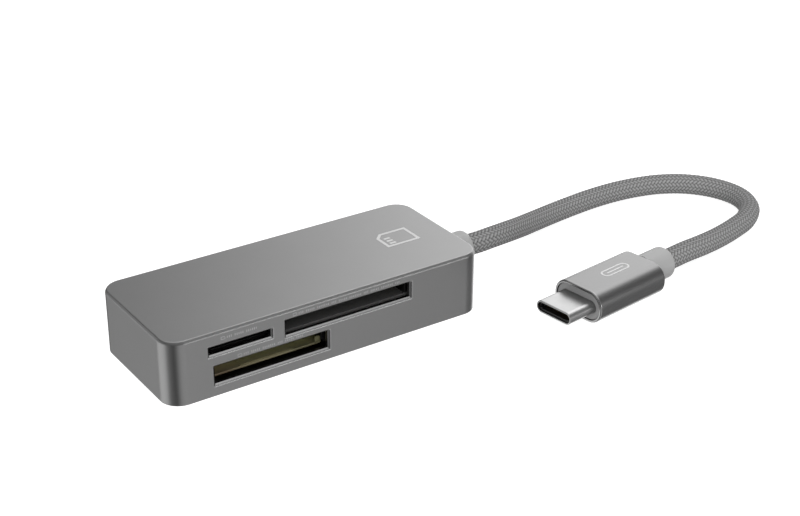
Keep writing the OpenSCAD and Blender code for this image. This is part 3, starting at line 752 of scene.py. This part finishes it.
def slot_cutter(slot):
    """The hole of a slot, with a chamfer at the case's face whose two edges are slightly eased."""
    name, x, z, width, height = slot
    wide, narrow = SLOT_CHAMFER + CHAMFER_FAR, SLOT_CHAMFER - CHAMFER_NEAR
    profile = [(wide, -0.3), (wide, 0.0), (narrow, CHAMFER_NEAR),
               (CHAMFER_NEAR, narrow), (0.0, wide), (0.0, WALL + 0.5)]
    loops = []
    for grow, depth in profile:
        corner = SLOT_CORNER_R + CORNER_GROWTH * grow
        outline = round_rect(width + 2 * grow, height + 2 * grow, corner, 6)
        loops.append(facing(outline, FRONT_Y + depth, x, z + height / 2))
    return loft("cut_" + name, loops)


def polish_chamfers(case, material):
    """Gives the chamfers round the slots their own brighter finish."""
    case.data.materials.append(material)
    for face in case.data.polygons:
        x, y, z = face.center / MM
        sloping = 0.1 < -face.normal.y < 0.97
        by_the_face = y < FRONT_Y + SLOT_CHAMFER + 0.1
        among_slots = abs(x) < BODY_LEN / 2 - CORNER_R and 1.0 < z < BODY_HIGH - 1.0
        if sloping and by_the_face and among_slots:
            face.material_index = 1


def top_bevel():
    """(inset, z) pairs up the narrow bevel round the case's top, with both of its edges eased."""
    share = TOP_BEVEL_EASE / math.hypot(TOP_BEVEL_IN, TOP_BEVEL_DOWN)
    du, dz = TOP_BEVEL_IN * share, TOP_BEVEL_DOWN * share
    foot, brow = BODY_HIGH - TOP_BEVEL_DOWN, BODY_HIGH
    lower = eased((0, foot - TOP_BEVEL_EASE), (0, foot), (du, foot + dz))
    flat = TOP_BEVEL_IN + TOP_BEVEL_EASE
    upper = eased((TOP_BEVEL_IN - du, brow - dz), (TOP_BEVEL_IN, brow), (flat, brow))
    return lower + upper


def by_the_exit(x, y, z):
    """A point about the axis of the lead where it leaves the case."""
    return (x, y, LEAD_Z + z)


def make_case(material, cut_material):
    """The metal case: an open-bottomed box with screw bosses, three slots, and the lead's hole."""
    foot = quarter_round(LOW_EDGE_R, 4)
    case = slab("case_body", BODY_LEN, BODY_DEP, CORNER_R, foot + top_bevel())
    room = slab("room", BODY_LEN - 2 * WALL, BODY_DEP - 2 * WALL, CORNER_R - WALL,
                [(0, -1.0), (0, CEILING_Z)])
    corners = [(sx * SCREW_X, sy * SCREW_Y) for sx in (-1, 1) for sy in (-1, 1)]
    carve(room, [rod("boss", BOSS_R, BOARD_TOP, CEILING_Z + 1, x, y) for x, y in corners])
    inside, outside = BODY_LEN / 2 - 2, BODY_LEN / 2 + 1
    hole = [(inside, 0.001), (outside, 0.001), (outside, GROMMET_HOLE_R), (inside, GROMMET_HOLE_R)]
    lead_hole = turned("lead_hole", hole, by_the_exit, 64)
    bores = [rod("bore", SCREW_BORE_R, BOARD_TOP - 1, SCREW_BORE_TOP, x, y) for x, y in corners]
    carve(case, [room, lead_hole, *bores, *[slot_cutter(slot) for slot in SLOTS]])
    fit(smooth(case), "reader", "case_aluminium", material, "body_shell")
    polish_chamfers(case, cut_material)


def soft_end(end):
    """The rounded outer end of a soft sleeve, as (x, radius) pairs."""
    angles = [i * math.pi / 2 / 10 for i in range(11)]
    return [(end - SLEEVE_EDGE_R * (1 - math.sin(a)), SLEEVE_R - SLEEVE_EDGE_R * (1 - math.cos(a)))
            for a in angles]


def make_grommet(material):
    """The soft sleeve that the lead comes out of, with its neck in the wall and its flange inside."""
    inner, outer = BODY_LEN / 2 - WALL, BODY_LEN / 2
    end = outer + GROMMET_LEN
    profile = [(inner - FLANGE_T, BORE_R), (inner - FLANGE_T, FLANGE_R), (inner, FLANGE_R),
               (inner, GROMMET_NECK_R), (outer, GROMMET_NECK_R),
               (outer, SLEEVE_R), *soft_end(end), (end, BORE_R)]
    grommet = turned("lead_grommet", profile, by_the_exit)
    return fit(smooth(grommet), "reader", "soft_grey", material, "body_grommet")


def tray_window(x):
    """A hole through the tray, about x."""
    outline = round_rect(TRAY_WINDOW_W, TRAY_WINDOW_D, TRAY_WINDOW_R, 4)
    return loft("window", [upright(outline, z, x, TRAY_WINDOW_Y) for z in (TRAY_LOW - 1, TRAY_TOP + 1)])


def tray_step():
    """The low raised part across the tray, with its top edges bevelled."""
    front, back, bevel = TRAY_FRONT + 0.2, TRAY_FRONT + 5.5, 0.08
    corners = [(-17.0, front), (-6.9, front), (-6.5, back), (-16.4, back)]
    inwards = [(1, 1), (-1, 1), (-1, -1), (1, -1)]
    inner = [(x + bevel * sx, y + bevel * sy) for (x, y), (sx, sy) in zip(corners, inwards)]
    return loft("raised", [upright(corners, TRAY_TOP - 0.2), upright(corners, TRAY_TOP + 0.08),
                           upright(inner, TRAY_TOP + 0.14)])


def tray_tab():
    """The small tab turned up at the tray's right end."""
    left, right, clip = -2.4, -1.4, 0.2
    foot, shoulder, tip = TRAY_TOP - 0.3, TRAY_TOP + 0.75, TRAY_TOP + 1.0
    outline = [(left, foot), (right, foot), (right, shoulder), (right - clip, tip),
               (left + clip, tip), (left, shoulder)]
    return loft("upturned", [facing(outline, TRAY_FRONT + depth, 0, 0) for depth in (0.12, 0.42)])


def make_tray(material):
    """The stick slot's stamped tray: rolled edges, a step across it, and a tab turned up at one end."""
    width, depth = TRAY_RIGHT - TRAY_LEFT, TRAY_BACK - TRAY_FRONT
    plate = slab("card_tray", width, depth, TRAY_CORNER_R,
                 [(0.12, TRAY_LOW), (0.03, TRAY_LOW + 0.06), (0, TRAY_LOW + 0.14),
                  (0, TRAY_TOP - 0.14), (0.04, TRAY_TOP - 0.05), (0.14, TRAY_TOP)])
    middle = Vector(((TRAY_LEFT + TRAY_RIGHT) / 2, (TRAY_FRONT + TRAY_BACK) / 2, 0))
    plate.data.transform(Matrix.Translation(middle * MM))
    carve(plate, [tray_window(x) for x in TRAY_WINDOWS])
    carve(plate, [tray_step(), tray_tab()], "UNION")
    fit(smooth(plate, 40), "reader", "tray_brass", material, "stick_socket_tray")


def make_spring(material):
    """The eject spring, a coil fixed between its two ends."""
    steps, sides = 20 * SPRING_TURNS, 8
    front, back = SPRING_FRONT + SPRING_WIRE_R, SPRING_BACK - SPRING_WIRE_R
    loops = []
    for i in range(steps + 1):
        a = i * 2 * math.pi * SPRING_TURNS / steps
        y = front + (back - front) * i / steps
        loop = []
        for k in range(sides):
            b = k * 2 * math.pi / sides
            r = SPRING_R + SPRING_WIRE_R * math.cos(b)
            x, z = SPRING_X + r * math.cos(a), SPRING_Z + r * math.sin(a)
            loop.append((x, y + SPRING_WIRE_R * math.sin(b), z))
        loops.append(loop)
    spring = loft("eject_spring", loops)
    fit(smooth(spring, 60), "reader", "spring_steel", material, "micro_eject_spring")
    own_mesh(spring)


# ---- Plug ----

def make_sheath(body_material, rim_material):
    """The plug's metal sleeve: a thin wall with a polished rim, closed at the back round the collar."""
    def outline(inset, x):
        return across_plug(inset_rect(SHEATH_W, SHEATH_H, SHEATH_R, inset), x)
    edge_steps, lip_steps = 6, 4
    inner_back = SHEATH_LEN - SHEATH_BACK
    edge, lip = quarter_round(SHEATH_EDGE_R, edge_steps), quarter_round(SHEATH_LIP_R, lip_steps)
    front = [outline(inset, depth) for inset, depth in edge]
    back = [outline(inset, SHEATH_LEN - depth) for inset, depth in edge][::-1]
    hole = [across_plug(round_hole(SHEATH_HOLE_R), x) for x in (SHEATH_LEN, inner_back)]
    inside = [outline(SHEATH_WALL, inner_back)]
    inside += [outline(SHEATH_WALL - inset, depth) for inset, depth in lip][::-1]
    loops = front + back + hole + inside
    sheath = loft("plug_sheath", loops, ring=True)
    fit(smooth(sheath), "reader", "sleeve_aluminium", body_material, "plug_sleeve")
    sheath.data.materials.append(rim_material)
    count = len(loops[0])
    rim_rows = [*range(edge_steps), *range(len(loops) - lip_steps - 1, len(loops))]
    for row in rim_rows:
        for face in range(row * count, (row + 1) * count):
            sheath.data.polygons[face].material_index = 1
    return sheath


def make_mouth(material):
    """The bright contact shell: a drawn tube with a rolled lip."""
    def outline(inset, x):
        return across_plug(inset_rect(MOUTH_W, MOUTH_H, MOUTH_H / 2 - 0.01, inset), x)
    front = -MOUTH_LEN
    lip_out, lip_in = quarter_round(MOUTH_EDGE_R, 6), quarter_round(MOUTH_LIP_R, 5)
    loops = [outline(inset, front + depth) for inset, depth in lip_out]
    loops += [outline(0, MOUTH_BACK), outline(MOUTH_WALL, MOUTH_BACK)]
    loops += [outline(MOUTH_WALL - inset, front + depth) for inset, depth in lip_in][::-1]
    mouth = loft("plug_mouth", loops, ring=True)
    return fit(smooth(mouth), "reader", "shell_nickel", material, "plug_shell")


def make_insert(material):
    """The dark face set back inside the sleeve's rim, with the contact shell through it."""
    width = SHEATH_W - 2 * SHEATH_WALL - SEAT_GAP
    height = SHEATH_H - 2 * SHEATH_WALL - SEAT_GAP
    radius = SHEATH_R - SHEATH_WALL - SEAT_GAP / 2
    outer_edge, inner_edge = quarter_round(INSERT_EDGE_R, 4), quarter_round(INSERT_HOLE_EDGE_R, 3)
    def outline(inset, x):
        return across_plug(inset_rect(width, height, radius, inset), x)
    def hole(grow, x):
        wide, high = MOUTH_W + INSERT_GAP + 2 * grow, MOUTH_H + INSERT_GAP + 2 * grow
        return across_plug(round_rect(wide, high, MOUTH_H / 2 + grow - 0.01), x)
    loops = [outline(inset, INSERT_X + depth) for inset, depth in outer_edge]
    loops += [outline(0, INSERT_X + INSERT_T), hole(0, INSERT_X + INSERT_T)]
    loops += [hole(grow, INSERT_X + depth) for grow, depth in inner_edge][::-1]
    insert = loft("plug_face", loops, ring=True)
    return fit(smooth(insert), "reader", "insert_grey", material, "plug_front_insert")


def make_collar(material):
    """The soft collar behind the sleeve, with its neck in the sleeve's back wall."""
    neck = SHEATH_LEN - SHEATH_BACK
    profile = [(neck, BORE_R), (neck, COLLAR_NECK_R), (SHEATH_LEN, COLLAR_NECK_R),
               (SHEATH_LEN, SLEEVE_R), *soft_end(PLUG_LEN), (PLUG_LEN, BORE_R)]
    collar = turned("plug_soft_collar", profile, at_plug)
    return fit(smooth(collar), "reader", "soft_grey", material, "plug_collar")


# ---- Marks ----

def card_outline(width, height, notch, inset=0.0):
    """A card with one clipped corner, as seen from its face."""
    w, h = width / 2 - inset, height / 2 - inset
    clip = notch - inset * 0.6
    return [(-w, -h), (w, -h), (w, h - clip), (w - clip, h), (-w, h)]


def bar_outline(bar):
    """The corners of a bar that is (u, v, width, height) about its middle."""
    u, v, width, height = bar
    left, right = u - width / 2, u + width / 2
    low, high = v - height / 2, v + height / 2
    return [(left, low), (right, low), (right, high), (left, high)]


def make_mark(name, material, place, outer, inner, bars):
    """A mark of thin flat strips: a frame between two outlines, and separate bars."""
    count = len(outer)
    rings = [(inner, 0), (outer, 0), (outer, MARK_THICK), (inner, MARK_THICK)]
    points = [place(u, v, w) for outline, w in rings for u, v in outline]
    faces = [(i * count + k, i * count + (k + 1) % count, (i + 1) % 4 * count + (k + 1) % count,
              (i + 1) % 4 * count + k) for i in range(4) for k in range(count)]
    for bar in bars:
        n = len(points)
        points += [place(u, v, w) for w in (0, MARK_THICK) for u, v in bar_outline(bar)]
        faces += [(n, n + 1, n + 2, n + 3), (n + 4, n + 5, n + 6, n + 7)]
        faces += [(n + k, n + (k + 1) % 4, n + 4 + (k + 1) % 4, n + 4 + k) for k in range(4)]
    fit(add_piece(name, points, faces), "reader", "case_aluminium", material)


def tick_row(left, right):
    """Small upright ticks, in groups of three, five and seven."""
    ticks = []
    for i in range(int((right - left) / TICK_STEP) + 1):
        if i % 18 not in (3, 9, 17):
            ticks.append((left + i * TICK_STEP, 0.0, TICK_W, TICK_TALL if i % 3 else TICK_SHORT))
    return ticks


def make_top_mark(material):
    """A card with three contacts, lying across the case's top."""
    def place(u, v, w):
        return (TOP_MARK_X - v, TOP_MARK_Y + u, BODY_HIGH + w)
    card = (TOP_CARD_W, TOP_CARD_H, TOP_CARD_NOTCH)
    bars = [(-1.5 + 1.0 * i, 1.75, 0.55, 1.3) for i in range(3)]
    make_mark("top_mark", material, place, card_outline(*card), card_outline(*card, TOP_CARD_LINE), bars)


def make_slot_mark(material, name, left, right, z):
    """A small card and a row of ticks over a slot."""
    def place(u, v, w):
        return (left + SLOT_CARD_W / 2 + u, FRONT_Y - w, z + v)
    card = (SLOT_CARD_W, SLOT_CARD_H, SLOT_CARD_NOTCH)
    ticks = tick_row(SLOT_CARD_W, right - left - SLOT_CARD_W / 2)
    make_mark(name + "_slot_mark", material, place, card_outline(*card),
              card_outline(*card, SLOT_CARD_LINE), ticks)


def make_plug_mark(material):
    """The outline of the plug's mouth with its tongue, lying along the plug."""
    def place(u, v, w):
        return at_plug(PLUG_MARK_X + u, v, SHEATH_H / 2 + w)
    inner_w, inner_h = PLUG_MARK_W - 2 * PLUG_MARK_LINE, PLUG_MARK_H - 2 * PLUG_MARK_LINE
    make_mark("plug_mark", material, place, round_rect(PLUG_MARK_W, PLUG_MARK_H, 1.08, 8),
              round_rect(inner_w, inner_h, 0.73, 8), [(0, 0, 4.4, 0.32)])


def make_marks():
    bright = print_ink("bright_mark", 0.55)
    faint = print_ink("faint_mark", 0.36)
    make_top_mark(bright)
    for name, left, right, z in SLOT_MARKS:
        make_slot_mark(faint, name, left, right, z)
    make_plug_mark(bright)


# ---- Surroundings ----

def make_floor():
    """A plain pale floor, lit through from below. The object sees the studio's light in its place."""
    bpy.ops.mesh.primitive_circle_add(vertices=96, radius=FLOOR_R, fill_type="NGON",
                                      location=(0, 0, -FLOOR_GAP))
    floor = bpy.context.active_object
    floor.name = "studio_floor"
    s = Surface("floor_paint", (0.5, 0.5, 0.5), 0.9)
    s.shade(s.noise(s.stretched((0.02, 0.02, 0.02)), detail=1), 0.99, 1.01)
    s.shader.inputs["Emission Color"].default_value = (1, 1, 1, 1)
    s.shader.inputs["Emission Strength"].default_value = FLOOR_GLOW
    floor.data.materials.append(s.material)
    floor.visible_glossy = False
    floor.visible_diffuse = False


def make_overhead():
    """One wide soft light straight above."""
    data = bpy.data.lights.new("overhead", "AREA")
    data.shape, data.size, data.energy = "SQUARE", OVERHEAD_SIZE, OVERHEAD_POWER
    light = bpy.data.objects.new("overhead", data)
    bpy.context.scene.collection.objects.link(light)
    light.location = OVERHEAD_PLACE
    light.visible_glossy = False


class Sky:
    """The world's node tree, with short calls for what its light needs."""

    def __init__(self, world):
        world.use_nodes = True
        self.nodes = world.node_tree.nodes
        self.links = world.node_tree.links
        spot = self.nodes.new("ShaderNodeSeparateXYZ")
        self.links.new(self.nodes.new("ShaderNodeTexCoord").outputs["Generated"], spot.inputs[0])
        self.x, self.y, z = spot.outputs
        squares = [self.calc("MULTIPLY", axis, axis) for axis in (self.x, self.y)]
        self.level = self.calc("SQRT", self.calc("ADD", *squares))
        self.rise = self.calc("DEGREES", self.calc("ARCSINE", z))

    def put(self, socket, value):
        if isinstance(value, bpy.types.NodeSocket):
            self.links.new(value, socket)
        else:
            socket.default_value = value

    def calc(self, operation, a, b=0.0):
        made = self.nodes.new("ShaderNodeMath")
        made.operation = operation
        self.put(made.inputs[0], a)
        self.put(made.inputs[1], b)
        return made.outputs[0]

    def step(self, value, start, end, low, high):
        """From low to high, smoothly, as the value goes from start to end."""
        made = self.nodes.new("ShaderNodeMapRange")
        made.interpolation_type = "SMOOTHSTEP"
        for socket, number in zip(made.inputs, (value, start, end, low, high)):
            self.put(socket, number)
        return made.outputs["Result"]

    def panel(self, azimuth, half, soft, low, high, rim, strength):
        """The light of one panel."""
        a = math.radians(azimuth)
        toward = self.calc("ADD", self.calc("MULTIPLY", self.x, math.cos(a)),
                           self.calc("MULTIPLY", self.y, math.sin(a)))
        share = self.calc("DIVIDE", toward, self.calc("MAXIMUM", self.level, 0.001))
        away = self.calc("DEGREES", self.calc("ARCCOSINE", share))
        wide = self.step(away, half - soft / 2, half + soft / 2, 1.0, 0.0)
        tall = self.calc("MULTIPLY", self.step(self.rise, low - rim / 2, low + rim / 2, 0.0, 1.0),
                         self.step(self.rise, high - rim / 2, high + rim / 2, 1.0, 0.0))
        return self.calc("MULTIPLY", self.calc("MULTIPLY", wide, tall), strength)

    def light_from(self, panels, fill):
        total = fill
        for panel in panels:
            total = self.calc("ADD", total, self.panel(*panel))
        return total

    def choose(self, share, a, b):
        """a where the share is 0, and b where it is 1."""
        return self.calc("ADD", self.calc("MULTIPLY", a, self.calc("SUBTRACT", 1.0, share)),
                         self.calc("MULTIPLY", b, share))


def make_world():
    """A studio of soft upright panels with dimmer gaps between them, and a plain pale backdrop."""
    world = bpy.data.worlds.new("studio")
    bpy.context.scene.world = world
    world.cycles.sampling_method = "NONE"
    sky = Sky(world)
    kind = sky.nodes.new("ShaderNodeLightPath").outputs
    around = sky.choose(kind["Is Diffuse Ray"], sky.light_from(PANELS, FILL),
                        sky.light_from(SOFT_PANELS, SOFT_FILL))
    background = sky.nodes["Background"].inputs
    sky.put(background["Strength"], sky.choose(kind["Is Camera Ray"], around, BACKDROP))
    sky.put(background["Color"], (1, 1, 1, 1))


# ---- Putting it together ----

def dress_cad_nodes(finishes):
    """Each CAD node gets its own slot's material. Three are a deeper black, and one has two tones of
    painted light and shade.
    """
    deep_names = ("micro_socket_base", "stick_socket_base", "plug_insulator")
    deep = [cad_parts[name] for name in deep_names]
    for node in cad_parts.values():
        for holder in node.material_slots:
            slot = "deep_black" if node in deep else holder.material.name.split(".")[0]
            holder.material = finishes[slot]
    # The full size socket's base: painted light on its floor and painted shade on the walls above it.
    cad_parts["full_socket_base"].material_slots[0].material = socket_floor("socket_floor")


def declare_lead(path):
    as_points(path)


def build():
    bpy.context.scene.view_settings.view_transform = "Standard"
    make_camera()
    finishes = make_finishes()
    rim = plated_metal("polished_rim", (0.27, 0.27, 0.27), 0.24, (9.0, 9.0, 9.0), 0.001)
    cut = blasted_metal("cut_aluminium", 0.31, 0.26, 9.0, 0.002)
    dress_cad_nodes(finishes)
    lead, path, length = make_lead(finishes["braid"])
    grommet = make_grommet(finishes["soft_grey"])
    collar = make_collar(finishes["soft_grey"])
    sheath = make_sheath(finishes["sleeve_aluminium"], rim)
    insert = make_insert(finishes["insert_grey"])
    mouth = make_mouth(finishes["shell_nickel"])
    declare_lead(path)
    make_case(finishes["case_aluminium"], cut)
    make_tray(finishes["tray_brass"])
    make_spring(finishes["spring_steel"])
    make_marks()
    make_floor()
    make_overhead()
    make_world()


build()
